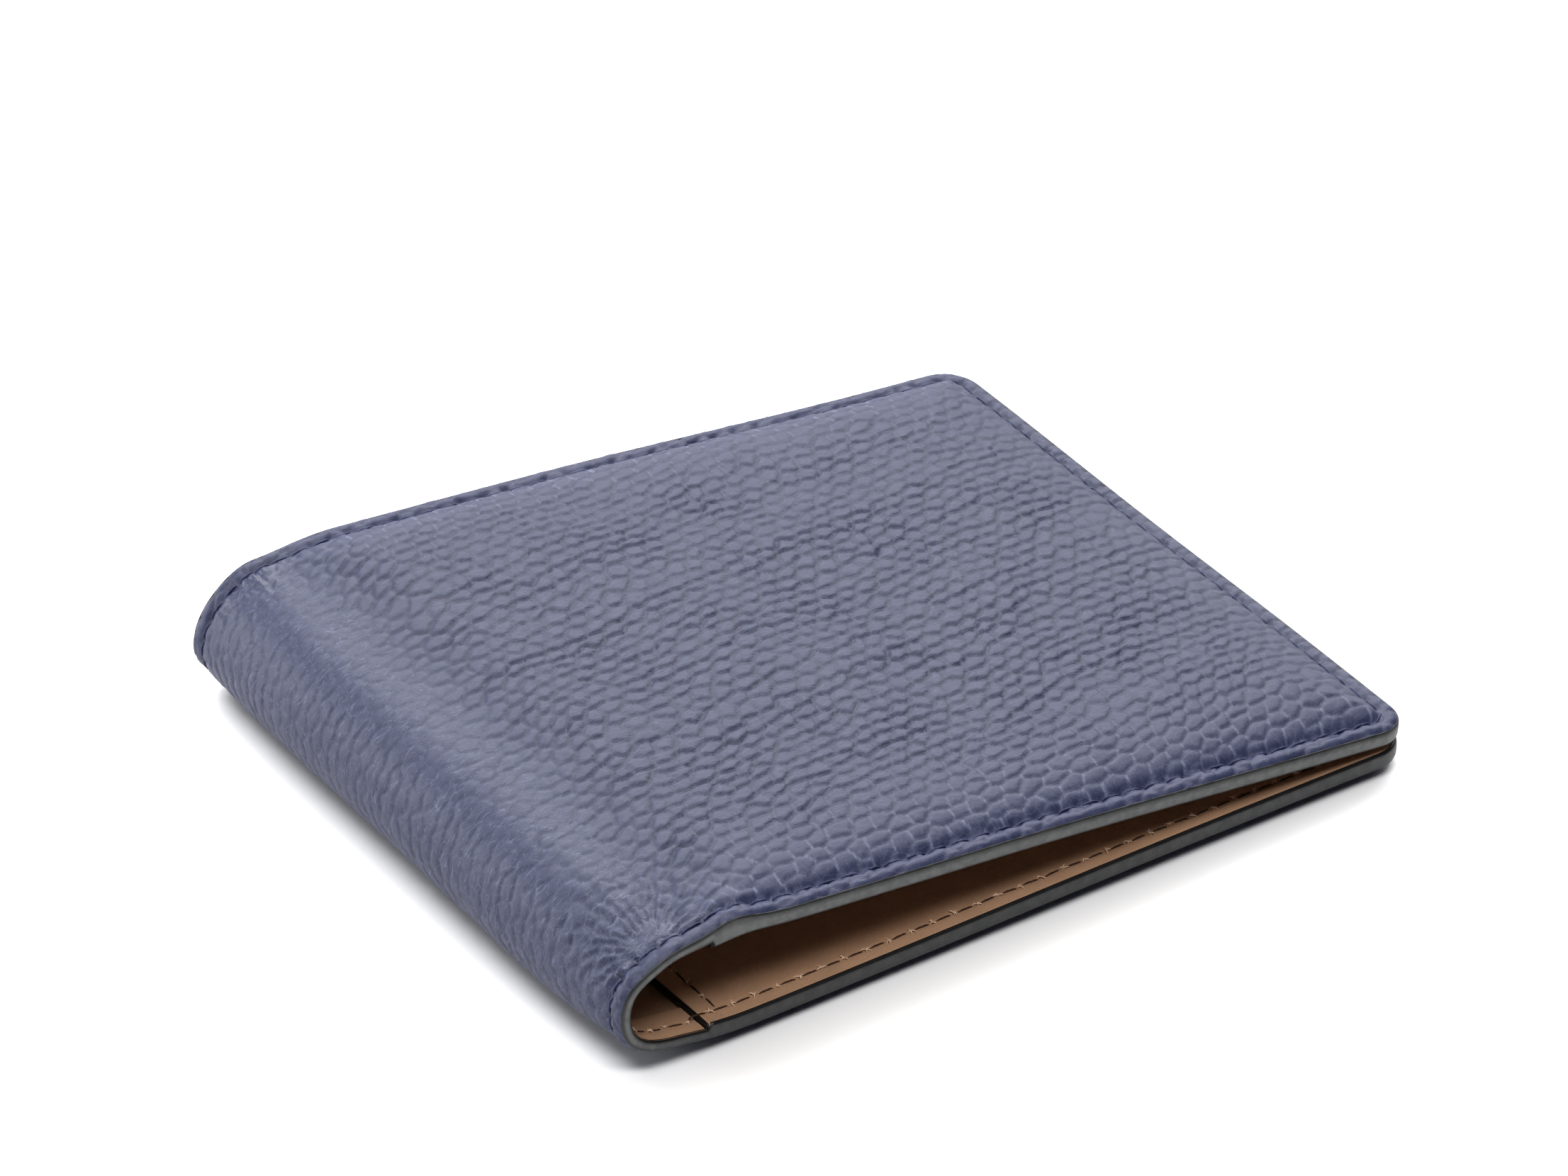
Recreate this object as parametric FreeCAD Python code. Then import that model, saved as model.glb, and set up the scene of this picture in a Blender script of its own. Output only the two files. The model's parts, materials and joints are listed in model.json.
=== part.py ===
import FreeCAD, Part
import math
import os

# A bifold wallet of grained leather, closed, lying on its back cover.
# The spine is at -X, the open edges at +X, the sewn bottom edge at -Y and the mouths of the
# bill compartment and card pockets face +Y. The origin is the middle of the footprint, on the
# surface that the wallet lies on. All sizes are in millimetres.
#
# Each half is drawn flat in its own frame, (u, v, w): u runs from the end of the spine bend to
# the open edge, v runs along the spine as Y does, and w runs from the outer face of the sewn
# border inwards. The halves are mirror images across the spine.

# Driving dimensions
LENGTH = 110.0         # spine to open edge, closed
HEIGHT = 92.0          # bottom edge to top edge, along the spine
SPINE_RADIUS = 7.8     # outer radius of the spine bend
OPEN_EDGE = 5.2        # over both covers at the open edge, on the sewn border
CROWN = 1.2            # how far the padded middle of a cover stands out from its border
CORNER_RADIUS = 4.5
HINGE_COUNT = 6        # the bend opens at this many creases

# Thickness of each layer, from the outside in
LEATHER = 0.9
LINING = 0.25
BILL_GAP = 0.15
DIVIDER = 0.25
POCKET_BODY = 0.1      # thin cloth that carries a card below its leather band
POCKET_BAND = 0.5      # leather band at a pocket's mouth
EDGE_COAT = 0.25       # paint on the cut edges all round
PANEL_COAT = 0.15      # paint on the inner panels' edge beside the spine

# Inside layout
PANEL_START = 4.5      # u of the inner panels' edge beside the spine
PANEL_TOP = 43.0       # v of the divider's upper edge
PANEL_CORNER = 3.0
FIRST_MOUTH = 1.0      # v of the lowest pocket's mouth
MOUTH_STEP = 11.0      # from one mouth to the next
POCKET_COUNT = 4
POCKET_DEPTH = 50.0
BOTTOM_HEM = 6.0       # doubled leather at the foot of the lowest pocket
GUSSET_HEIGHT = 5.5    # strip that closes the bottom of the spine, between the panels
GUSSET_CLEARANCE = 0.1
FOOT_WIDTH = 3.5       # where the divider is sewn down to the lining

# Padding
PAD_INSET = 2.9        # from the edge to the foot of the padded slope
PAD_SLOPE = 9.0        # width of the slope
PAD_FOOT_RADIUS = 2.0
PAD_TOP_RADIUS = 6.0

# Sewing
SEAM_INSET = 2.3
STITCH_PITCH = 3.0
STITCH_LENGTH = 2.3
THREAD_WIDTH = 0.45
THREAD_HEIGHT = 0.12
SIDE_SEAM_INSET = 2.7
SIDE_SEAM_TOP = 40.0

CREASE_GAP = 0.12      # half the gap between neighbouring spine staves

# Worked out from the above
HALF_HEIGHT = HEIGHT / 2
BEND_X = SPINE_RADIUS - LENGTH / 2
BEND_Z = CROWN + SPINE_RADIUS
DROP = SPINE_RADIUS - OPEN_EDGE
SPAN = math.hypot(LENGTH - SPINE_RADIUS, DROP)
WEDGE = math.asin(SPINE_RADIUS / SPAN) + math.atan2(DROP, LENGTH - SPINE_RADIUS)
RUN = math.sqrt(SPAN ** 2 - SPINE_RADIUS ** 2)
CREASE_TURN = (math.pi + WEDGE) / HINGE_COUNT

SHELL = LEATHER + LINING
DIVIDER_BASE = SHELL + BILL_GAP
PANEL_BASE = DIVIDER_BASE + DIVIDER
GUSSET_TOP = SHELL + POCKET_BAND
INNER_RUN = RUN - EDGE_COAT
INNER_HALF = HALF_HEIGHT - EDGE_COAT
SIDE_SEAM_U = PANEL_START + SIDE_SEAM_INSET
GUSSET_END = PANEL_START - PANEL_COAT - GUSSET_CLEARANCE
GUSSET_V = GUSSET_HEIGHT - HALF_HEIGHT

Y_AXIS = FreeCAD.Vector(0, 1, 0)
ORIGIN = FreeCAD.Vector(0, 0, 0)


def mouth(number):
    """v of a pocket's mouth; pocket 1 is the lowest and nearest the reader."""
    return FIRST_MOUTH + (number - 1) * MOUTH_STEP


def pocket_base(number):
    """w of the outer face of a pocket: each lies on the bodies of those behind it."""
    return PANEL_BASE + (POCKET_COUNT - number) * POCKET_BODY


def pocket_top(number):
    return pocket_base(number) + POCKET_BAND


def inner_level(v):
    """w of the innermost surface at this height up the panel."""
    for number in range(1, POCKET_COUNT + 1):
        if v < mouth(number):
            return pocket_top(number)
    return PANEL_BASE if v < PANEL_TOP else SHELL


def box(u0, u1, v0, v1, w0, w1):
    return Part.makeBox(u1 - u0, v1 - v0, w1 - w0, FreeCAD.Vector(u0, v0, w0))


def rounded_wire(u0, u1, v0, v1, w, radii):
    """A rectangle at height w. radii are for the corners (u0,v0), (u1,v0), (u1,v1), (u0,v1)."""
    corners = [(u0, v0, 1, 1), (u1, v0, -1, 1), (u1, v1, -1, -1), (u0, v1, 1, -1)]
    stops = []
    for index, ((u, v, du, dv), r) in enumerate(zip(corners, radii)):
        along_u = FreeCAD.Vector(u + du * r, v, w)
        along_v = FreeCAD.Vector(u, v + dv * r, w)
        bulge = r * (1 - math.sqrt(0.5))
        middle = FreeCAD.Vector(u + du * bulge, v + dv * bulge, w)
        first, last = (along_v, along_u) if index % 2 == 0 else (along_u, along_v)
        stops.append((first, middle, last, r))
    edges = []
    for index, (first, middle, last, r) in enumerate(stops):
        if r > 0:
            edges.append(Part.Arc(first, middle, last).toShape())
        following = stops[(index + 1) % len(stops)][0]
        edges.append(Part.makeLine(last, following))
    return Part.Wire(edges)


def plate(u0, u1, v0, v1, w0, w1, radii=(0, 0, 0, 0)):
    face = Part.Face(rounded_wire(u0, u1, v0, v1, w0, radii))
    return face.extrude(FreeCAD.Vector(0, 0, w1 - w0))


def shell_plate(w0, w1, inset=0.0, start=0.0):
    """The outline of a cover, without its bend, between two depths."""
    radius = CORNER_RADIUS - inset
    edge = HALF_HEIGHT - inset
    return plate(start, RUN - inset, -edge, edge, w0, w1, (0, radius, radius, 0))


def mound(w_foot, w_top):
    """The padded middle: a low mound with sloping sides."""
    foot = rounded_wire(
        PAD_INSET, RUN - PAD_INSET, PAD_INSET - HALF_HEIGHT, HALF_HEIGHT - PAD_INSET,
        w_foot, (PAD_FOOT_RADIUS,) * 4)
    inset = PAD_INSET + PAD_SLOPE
    top = rounded_wire(
        inset, RUN - inset, inset - HALF_HEIGHT, HALF_HEIGHT - inset,
        w_top, (PAD_TOP_RADIUS,) * 4)
    return Part.makeLoft([foot, top], True, True)


def sector(r_outer, r_inner, start, end, v0, v1, gap_start=0.0, gap_end=0.0):
    """Part of the bend, about (u, w) = (0, SPINE_RADIUS). Angles run from the tangent line
    with the cover towards the spine; a gap moves an end face back, parallel to itself."""
    def point(radius, angle):
        return FreeCAD.Vector(
            -radius * math.sin(angle), v0, SPINE_RADIUS - radius * math.cos(angle))

    def stops(radius):
        first = start + math.asin(gap_start / radius)
        last = end - math.asin(gap_end / radius)
        return point(radius, first), point(radius, (first + last) / 2), point(radius, last)

    outer, inner = stops(r_outer), stops(r_inner)
    wire = Part.Wire([
        Part.Arc(*outer).toShape(),
        Part.makeLine(outer[2], inner[2]),
        Part.Arc(*reversed(inner)).toShape(),
        Part.makeLine(inner[0], outer[0]),
    ])
    return Part.Face(wire).extrude(FreeCAD.Vector(0, v1 - v0, 0))


def bend_stub(w_outer, w_inner, v0, v1):
    """The piece of the bend that stays with a cover, up to its first crease."""
    return sector(SPINE_RADIUS - w_outer, SPINE_RADIUS - w_inner,
                  0, CREASE_TURN / 2, v0, v1, gap_end=CREASE_GAP)


def stave(w_outer, w_inner, v0, v1):
    """One stave of the bend, lying where the cover would be before it is turned."""
    half_turn = CREASE_TURN / 2
    return sector(SPINE_RADIUS - w_outer, SPINE_RADIUS - w_inner,
                  -half_turn, half_turn, v0, v1, CREASE_GAP, CREASE_GAP)


def cover():
    flat = shell_plate(0, LEATHER, EDGE_COAT)
    flat = flat.fuse(bend_stub(0, LEATHER, -INNER_HALF, INNER_HALF))
    return flat.fuse(mound(0, -CROWN)).cut(padding()).removeSplitter()


def padding():
    return mound(LEATHER, LEATHER - CROWN)


def lining():
    flat = shell_plate(LEATHER, SHELL, EDGE_COAT)
    return flat.fuse(bend_stub(LEATHER, SHELL, -INNER_HALF, INNER_HALF)).removeSplitter()


def panel_plate(v_low, v_high, w0, w1, corner=0.0):
    """A layer of the inner panel; where it reaches the bottom edge its corner is rounded."""
    low_corner = CORNER_RADIUS - EDGE_COAT if v_low <= -INNER_HALF else 0
    return plate(PANEL_START, INNER_RUN, v_low, v_high, w0, w1, (0, low_corner, corner, 0))


def bill_divider():
    sheet = panel_plate(-INNER_HALF, PANEL_TOP, DIVIDER_BASE, PANEL_BASE, PANEL_CORNER)
    feet = panel_plate(-INNER_HALF, PANEL_TOP, SHELL, DIVIDER_BASE, PANEL_CORNER)
    compartment = box(PANEL_START, RUN - FOOT_WIDTH, FOOT_WIDTH - HALF_HEIGHT, HALF_HEIGHT,
                      SHELL, DIVIDER_BASE)
    return sheet.fuse(feet.cut(compartment)).removeSplitter()


def card_pocket(number):
    base = pocket_base(number)
    if number == 1:
        face = panel_plate(-INNER_HALF, mouth(1), base, pocket_top(1))
        hem = panel_plate(-INNER_HALF, BOTTOM_HEM - HALF_HEIGHT, PANEL_BASE, base)
        return face.fuse(hem).removeSplitter()
    band = panel_plate(mouth(number - 1), mouth(number), base, pocket_top(number))
    body = panel_plate(mouth(number) - POCKET_DEPTH, mouth(number - 1), base,
                       base + POCKET_BODY)
    return band.fuse(body).removeSplitter()


def gusset_end():
    """The end of the spine's bottom strip that lies on a cover, beside the inner panel."""
    flat = box(0, GUSSET_END, -INNER_HALF, GUSSET_V, SHELL, GUSSET_TOP)
    return flat.fuse(bend_stub(SHELL, GUSSET_TOP, -INNER_HALF, GUSSET_V)).removeSplitter()


def panel_steps():
    """(low v, high v, top w) of each level of the inner panel, from the bottom edge up."""
    lows = [-HALF_HEIGHT] + [mouth(number) for number in range(1, POCKET_COUNT + 1)]
    highs = lows[1:] + [PANEL_TOP]
    return [(low, high, inner_level(low)) for low, high in zip(lows, highs)]


def edge_coat():
    """Paint on the cut edges of a half: it is as high as the layers it covers."""
    rim = shell_plate(0, SHELL).cut(shell_plate(0, SHELL, EDGE_COAT))
    rim = rim.fuse(box(0, GUSSET_END, -HALF_HEIGHT, -INNER_HALF, SHELL, GUSSET_TOP))
    rim = rim.fuse(bend_stub(0, GUSSET_TOP, -HALF_HEIGHT, -INNER_HALF))
    rim = rim.fuse(bend_stub(0, SHELL, INNER_HALF, HALF_HEIGHT))
    for low, high, top in panel_steps():
        band = shell_plate(SHELL, top).cut(shell_plate(SHELL, top, EDGE_COAT))
        window = box(PANEL_START, RUN, low, min(high, PANEL_TOP - PANEL_CORNER), SHELL, top)
        rim = rim.fuse(band.common(window))
    return rim.removeSplitter()


def panel_coat():
    """Paint on the edge of the inner panels beside the spine."""
    strips = [box(PANEL_START - PANEL_COAT, PANEL_START, max(low, -INNER_HALF), high,
                  DIVIDER_BASE, top)
              for low, high, top in panel_steps()]
    return strips[0].multiFuse(strips[1:]).removeSplitter()


def seam_path(distance):
    """(u, v, direction) along the border seam, from the spine, round the open edge and back."""
    radius = CORNER_RADIUS - SEAM_INSET
    straight = RUN - CORNER_RADIUS
    side = HEIGHT - 2 * CORNER_RADIUS
    arc = radius * math.pi / 2
    seam_v = HALF_HEIGHT - SEAM_INSET
    if distance < straight:
        return distance, -seam_v, 0.0
    distance -= straight
    if distance < arc:
        turn = distance / radius
        return (straight + radius * math.sin(turn), radius * (1 - math.cos(turn)) - seam_v, turn)
    distance -= arc
    if distance < side:
        return RUN - SEAM_INSET, distance - side / 2, math.pi / 2
    distance -= side
    if distance < arc:
        turn = distance / radius
        return (straight + radius * math.cos(turn), side / 2 + radius * math.sin(turn),
                math.pi / 2 + turn)
    return straight - (distance - arc), seam_v, math.pi


SEAM_LENGTH = (2 * (RUN - CORNER_RADIUS) + HEIGHT - 2 * CORNER_RADIUS
               + math.pi * (CORNER_RADIUS - SEAM_INSET))
STITCH_COUNT = int(SEAM_LENGTH / STITCH_PITCH)


def stitch(u, v, direction, w0, w1):
    """One visible stitch: a short bar of thread on a surface."""
    bar = box(-STITCH_LENGTH / 2, STITCH_LENGTH / 2, -THREAD_WIDTH / 2, THREAD_WIDTH / 2, w0, w1)
    bar.rotate(ORIGIN, FreeCAD.Vector(0, 0, 1), math.degrees(direction))
    bar.translate(FreeCAD.Vector(u, v, 0))
    return bar


def seam_stitches():
    """Where the border stitches are, as (u, v, direction)."""
    start = (SEAM_LENGTH - (STITCH_COUNT - 1) * STITCH_PITCH) / 2
    return [seam_path(start + index * STITCH_PITCH) for index in range(STITCH_COUNT)]


def level_under(u, v, direction):
    """The highest surface that a stitch on the inside lies over."""
    if u < PANEL_START:
        return GUSSET_TOP if v < GUSSET_V else SHELL
    reach = abs(math.sin(direction)) * STITCH_LENGTH / 2 + THREAD_WIDTH / 2
    return inner_level(v - reach)


def border_thread():
    return Part.makeCompound(
        [stitch(u, v, direction, -THREAD_HEIGHT, 0) for u, v, direction in seam_stitches()])


def bobbin_thread():
    bars = []
    for u, v, direction in seam_stitches():
        level = level_under(u, v, direction)
        crosses_panel_edge = v < 0 and abs(u - PANEL_START) < STITCH_LENGTH / 2
        if crosses_panel_edge:
            level = inner_level(v)
        bars.append(stitch(u, v, direction, level, level + THREAD_HEIGHT))
    return Part.makeCompound(bars)


def side_seam_thread():
    """Sewing that closes the card pockets beside the spine."""
    bars = []
    v = SEAM_INSET - HALF_HEIGHT + STITCH_PITCH
    while v < SIDE_SEAM_TOP:
        level = level_under(SIDE_SEAM_U, v, math.pi / 2)
        bars.append(stitch(SIDE_SEAM_U, v, math.pi / 2, level, level + THREAD_HEIGHT))
        v += STITCH_PITCH
    return Part.makeCompound(bars)


def stave_thread():
    """The stitches that cross one stave: outside and inside, at both ends of the spine."""
    seam_v = HALF_HEIGHT - SEAM_INSET
    bars = []
    for v, inside in ((-seam_v, GUSSET_TOP), (seam_v, SHELL)):
        v0, v1 = v - THREAD_WIDTH / 2, v + THREAD_WIDTH / 2
        for w in (-THREAD_HEIGHT, inside):
            radius = SPINE_RADIUS - w
            half_angle = STITCH_LENGTH / 2 / radius
            half_angle = min(half_angle, CREASE_TURN / 2 - 2 * CREASE_GAP / radius)
            bars.append(sector(radius, radius - THREAD_HEIGHT, -half_angle, half_angle, v0, v1))
    return Part.makeCompound(bars)


def stave_coat():
    near = stave(0, GUSSET_TOP, -HALF_HEIGHT, -INNER_HALF)
    far = stave(0, SHELL, INNER_HALF, HALF_HEIGHT)
    return Part.makeCompound([near, far])


def place_back(shape):
    placed = shape.copy()
    placed.translate(FreeCAD.Vector(BEND_X, 0, CROWN))
    return placed


def place_front(shape):
    """Mirrors a half across the spine and lays it on top, sloping down to the open edge."""
    placed = shape.mirror(ORIGIN, FreeCAD.Vector(0, 0, 1))
    placed.translate(FreeCAD.Vector(0, 0, SPINE_RADIUS))
    placed.rotate(ORIGIN, Y_AXIS, math.degrees(WEDGE))
    placed.translate(FreeCAD.Vector(BEND_X, 0, BEND_Z))
    return placed


def place_stave(shape, number):
    placed = place_back(shape)
    centre = FreeCAD.Vector(BEND_X, 0, BEND_Z)
    placed.rotate(centre, Y_AXIS, math.degrees(number * CREASE_TURN))
    return placed


def half_pieces():
    """Every piece of one half, drawn flat."""
    pieces = {
        "cover_leather": cover(),
        "cover_padding": padding(),
        "cover_lining": lining(),
        "bill_divider": bill_divider(),
        "spine_gusset_end": gusset_end(),
        "edge_paint": edge_coat(),
        "panel_edge_paint": panel_coat(),
        "border_stitching": border_thread(),
        "inside_border_stitching": bobbin_thread(),
        "pocket_side_stitching": side_seam_thread(),
    }
    for number in range(1, POCKET_COUNT + 1):
        pieces[f"card_pocket_{number}"] = card_pocket(number)
    return pieces


def stave_pieces():
    """Every piece of one stave of the spine, before it is turned into place."""
    return {
        "spine_leather": stave(0, LEATHER, -INNER_HALF, INNER_HALF),
        "spine_lining": stave(LEATHER, SHELL, -INNER_HALF, INNER_HALF),
        "spine_gusset": stave(SHELL, GUSSET_TOP, -INNER_HALF, GUSSET_V),
        "spine_edge_paint": stave_coat(),
        "spine_stitching": stave_thread(),
    }


def main():
    os.makedirs("parts", exist_ok=True)
    nodes = {}
    for name, shape in half_pieces().items():
        nodes[f"back_{name}"] = place_back(shape)
        nodes[f"front_{name}"] = place_front(shape)
    for number in range(1, HINGE_COUNT):
        for name, shape in stave_pieces().items():
            nodes[f"{name}_{number}"] = place_stave(shape, number)
    for name, shape in nodes.items():
        shape.exportStep(f"parts/{name}.step")


main()
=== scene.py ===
import json
import math
from functools import partialmethod

import bpy
import numpy as np
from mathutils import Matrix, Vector


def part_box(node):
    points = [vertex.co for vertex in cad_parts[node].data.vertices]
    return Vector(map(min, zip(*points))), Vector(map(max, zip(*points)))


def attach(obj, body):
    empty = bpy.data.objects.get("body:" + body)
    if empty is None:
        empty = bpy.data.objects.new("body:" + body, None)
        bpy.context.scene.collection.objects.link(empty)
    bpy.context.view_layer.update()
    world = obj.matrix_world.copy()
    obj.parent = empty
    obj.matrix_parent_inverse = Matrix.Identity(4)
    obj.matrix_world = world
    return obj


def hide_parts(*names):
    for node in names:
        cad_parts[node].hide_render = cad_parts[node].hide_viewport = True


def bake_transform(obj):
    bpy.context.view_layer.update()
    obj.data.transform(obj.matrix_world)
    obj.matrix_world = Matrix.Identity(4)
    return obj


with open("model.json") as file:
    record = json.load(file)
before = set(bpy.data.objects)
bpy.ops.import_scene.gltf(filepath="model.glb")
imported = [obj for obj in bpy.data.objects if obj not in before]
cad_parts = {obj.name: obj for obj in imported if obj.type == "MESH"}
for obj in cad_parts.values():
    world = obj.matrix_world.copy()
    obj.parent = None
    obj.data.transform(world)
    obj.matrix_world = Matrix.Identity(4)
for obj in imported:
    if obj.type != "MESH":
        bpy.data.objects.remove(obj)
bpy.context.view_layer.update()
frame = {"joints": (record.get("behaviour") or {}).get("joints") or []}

# A closed bifold wallet. Its leather is one sheet that runs from the open edge of the back half,
# round the spine, to the open edge of the front half. A point of the sheet is (s, v, depth) in
# millimetres: s runs across the sheet with 0 where the bend begins on the back half, v runs
# along the spine as Y does, and depth runs inwards from the outer face of the sewn border.
# u is the distance from the bend, on either half.

MM = 0.001

# Layers and layout, as in the CAD model
LEATHER = 0.9
SHELL = 1.15
DIVIDER_BASE = 1.3
PANEL_BASE = 1.55
POCKET_BODY = 0.1
POCKET_BAND = 0.5
GUSSET_TOP = SHELL + POCKET_BAND
PANEL_START = 4.5
PANEL_TOP = 43.0
PANEL_CORNER = 3.0
FIRST_MOUTH = 1.0
MOUTH_STEP = 11.0
POCKET_COUNT = 4
POCKET_DEPTH = 50.0
GUSSET_HEIGHT = 5.5
GUSSET_END = 4.25
SEAM_INSET = 2.3
SIDE_SEAM_U = 7.2
SIDE_SEAM_TOP = 40.0
STITCH_PITCH = 3.0
OUTER_STITCH = 1.25, 0.14       # half length and radius
INNER_STITCH = 1.2, 0.12
TUFTS = 4                       # at each hole, inside
CORNER_RADIUS = 4.5

# The bend, from the hinges on its outer face
HINGES = frame["joints"]
HINGE_COUNT = len(HINGES)
TURN = math.radians(HINGES[0]["range_deg"][1])
HINGE_POINTS = [Vector(hinge["pos_m"]) / MM for hinge in HINGES]
RADIUS = (HINGE_POINTS[1] - HINGE_POINTS[0]).length / (2 * math.sin(TURN / 2))
BEND_X = HINGE_POINTS[0].x + RADIUS * math.sin(TURN / 2)
BEND_Z = HINGE_POINTS[0].z + RADIUS * math.cos(TURN / 2)
BEND = HINGE_COUNT * TURN * RADIUS
STRIP = TURN * RADIUS
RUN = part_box("back_edge_paint")[1].x / MM - BEND_X
HALF_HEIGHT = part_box("back_edge_paint")[1].y / MM
CROWN = BEND_Z - RADIUS
CHAIN = ["back_half"] + [f"spine_stave_{n}" for n in range(1, HINGE_COUNT)] + ["front_half"]
HALVES = {"back": -1, "front": 1}
NUMBER_OF = {"back": 0, "front": HINGE_COUNT + 1}

# The visible form
COVER_CELL = 0.28
SPINE_CELL = 0.36       # the largest cell on the bend
GROUP = 4               # cells of an outer face to one of the hidden face below it
LINING_CELL = 0.9
PANEL_CELL = 1.1
FOAM_CELL = 1.2
PAINT_CELL = 0.5
EDGE_BACK = 0.2         # the leather stops short of the paint's outer face
PUFF = {"back": 1.45, "front": 2.9}     # how far the padding lifts each cover
PAD_RISE = 4.2          # how far from the seam the padding takes to rise
SPINE_PUFF = 0.45
STRETCH_REACH = 4.5     # how far from the seam the leather is drawn tight
PLEAT_HEIGHT = 0.36
FAN_HEIGHT = 0.2
FAN_COUNT = 30          # wrinkles in a full turn about the spine's near corner
SEAM_GROOVE = 0.17
HOLE_DIP = 0.28
TOOLED_INSET = 1.2      # of the creased line beside each pocket's mouth
EDGE_LINES = (0, 0.04, 0.1, 0.2, 0.34, 0.5)
MARK_LINES = (-0.5, -0.3, -0.15, 0, 0.15, 0.3, 0.5)

# The leather's pebbles, which lie in staggered rows along s
PEBBLE_LONG = 3.1
PEBBLE_WIDE = 1.95
PEBBLE_JITTER = 0.5
ROW_JITTER = 0.42
ROW_WEIGHT = 1.28       # above 1 makes the creases between rows straighter
ROW_WANDER = 6.5
ROW_SLOPE = 0.2
IN_ROW = 0.64           # strength of the creases within a row; it is about 1 between rows
GRAIN_DEPTH = 0.4
DOME_WIDTH = 0.8        # a pebble is round up to this distance from its creases
PEBBLE_LEAN = 0.1
FINE_SCALE = 0.42       # size of the finer pebbles that lie over the others

# The studio: degrees, metres and watts
CAMERA_AZIMUTH = -34.0
CAMERA_ELEVATION = 34.17
CAMERA_DISTANCE = 0.959
CAMERA_TARGET = Vector((0.01465, 0.02421, 0.00085))
CAMERA_LENS = 184.6
LAMPS = {   # azimuth, elevation, distance, width, height, power
    "back": (140, 31, 1.6, 1.9, 1.0, 30),
    "high": (130, 68, 1.6, 1.4, 0.9, 13),
    "crown": (-155, 58, 1.6, 1.2, 0.8, 12),
    "left": (-138, 14, 1.5, 1.4, 0.5, 16),
    "front": (-38, 61, 1.5, 1.0, 0.3, 20),
}
FLOOR_REACH = 4


# ---- the sheet's place in space

def u_of(s):
    return np.where(s < 0, -s, np.maximum(s - BEND, 0))


def s_of(u, side):
    """s at a distance u from the bend; side is -1 on the back half and 1 on the front."""
    return -u if side < 0 else BEND + u


def smooth(x, low, high):
    t = np.clip((x - low) / (high - low), 0, 1)
    return t * t * (3 - 2 * t)


def sway(s, v):
    """A slight lasting wave of the whole wallet, in Z."""
    x = BEND_X + u_of(s)
    return 0.12 * (1.2 + np.sin(0.065 * x + 0.8 + 0.02 * v) + 0.8 * np.sin(0.11 * v - 0.04 * x))


def hump(s, middle, width):
    """1 at the middle, falling to nothing on both sides of it."""
    return np.exp(-((s - middle) / width) ** 2)


def settle(s, v):
    """How far the spine's sewn ends are pinched out of round, in X and Z. They have no padding:
    the bottom of each end is drawn up, its top drawn down and in, and the near edge of the front
    cover buckles beside the spine."""
    near, far = smooth(-v, 28, 45), smooth(v, 22, 45)
    front = smooth(s - BEND, 2, 12) * (1 - smooth(s - BEND, 40, 90))
    dx = 0.7 * near * hump(s, 0.5 * BEND, 9)
    dx = dx + far * (2.0 * hump(s, 0.72 * BEND, 8) - 0.7 * hump(s, 0.15 * BEND, 6))
    dz = near * (1.3 * hump(s, 2, 6.5) - 1.3 * hump(s, BEND - 4, 5) + 0.3 * hump(s, BEND + 8.5, 4))
    dz = dz + near * 0.6 * front
    dz = dz + far * (0.5 * hump(s, 2, 6) - 1.3 * hump(s, BEND - 4, 8) + 0.6 * front)
    return dx, dz


def place(s, v, depth):
    """Points of the sheet in metres, in the row frame."""
    s, v, depth = np.broadcast_arrays(*(np.asarray(a, float) for a in (s, v, depth)))
    angle = np.clip(s, 0, BEND) / RADIUS
    depth = depth + sway(s, v) * np.cos(angle)
    along = np.where(s < 0, s, np.maximum(s - BEND, 0))
    x = BEND_X - (RADIUS - depth) * np.sin(angle) - along * np.cos(angle)
    z = BEND_Z - (RADIUS - depth) * np.cos(angle) + along * np.sin(angle)
    dx, dz = settle(s, v)
    lip = 0.75 * smooth(-v, 38, 45) * hump(s, BEND + 7, 3.2)
    dz = dz + lip * (1 - smooth(depth, 0.4, 1.7))
    return np.stack([x + dx, v, z + dz], axis=-1) * MM


def stacked(*parts):
    """Points from their coordinates, each an array or a single number."""
    return np.stack(np.broadcast_arrays(*parts), axis=-1)


def grid_of(columns, rows):
    return np.meshgrid(columns, rows, indexing="ij")


def corner_shift(a, b):
    """How far points at (a, b) from a corner's centre move, to make a square corner round."""
    inside = (a > 0) & (b > 0)
    a, b = np.where(inside, a, 1), np.where(inside, b, 1)
    shrink = np.where(inside, np.maximum(a, b) / np.hypot(a, b), 1)
    return a * (shrink - 1), b * (shrink - 1)


def round_corners(s, v):
    """Moves points of the square outline so that its corners are round."""
    du, dv = corner_shift(u_of(s) - (RUN - CORNER_RADIUS),
                          np.abs(v) - (HALF_HEIGHT - CORNER_RADIUS))
    return s + np.where(s < 0, -du, du), v + np.sign(v) * dv


def edge_distance(s, v):
    """Distance to the sheet's edge, on the square outline."""
    across = np.where((s < 0) | (s > BEND), RUN - u_of(s), RUN)
    return np.minimum(across, HALF_HEIGHT - np.abs(v))


def mouth(number):
    """v of a pocket's mouth, counting from the lowest pocket, 1."""
    return FIRST_MOUTH + (number - 1) * MOUTH_STEP


def pocket_base(number):
    return PANEL_BASE + (POCKET_COUNT - number) * POCKET_BODY


def inner_level(u, v):
    """Depth of the innermost face at a place on either half or on the bend (u = 0)."""
    if u < PANEL_START:
        return GUSSET_TOP if v < GUSSET_HEIGHT - HALF_HEIGHT else SHELL
    for number in range(1, POCKET_COUNT + 1):
        if v < mouth(number):
            return pocket_base(number) + POCKET_BAND
    return PANEL_BASE if v < PANEL_TOP else SHELL


# ---- node trees

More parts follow.
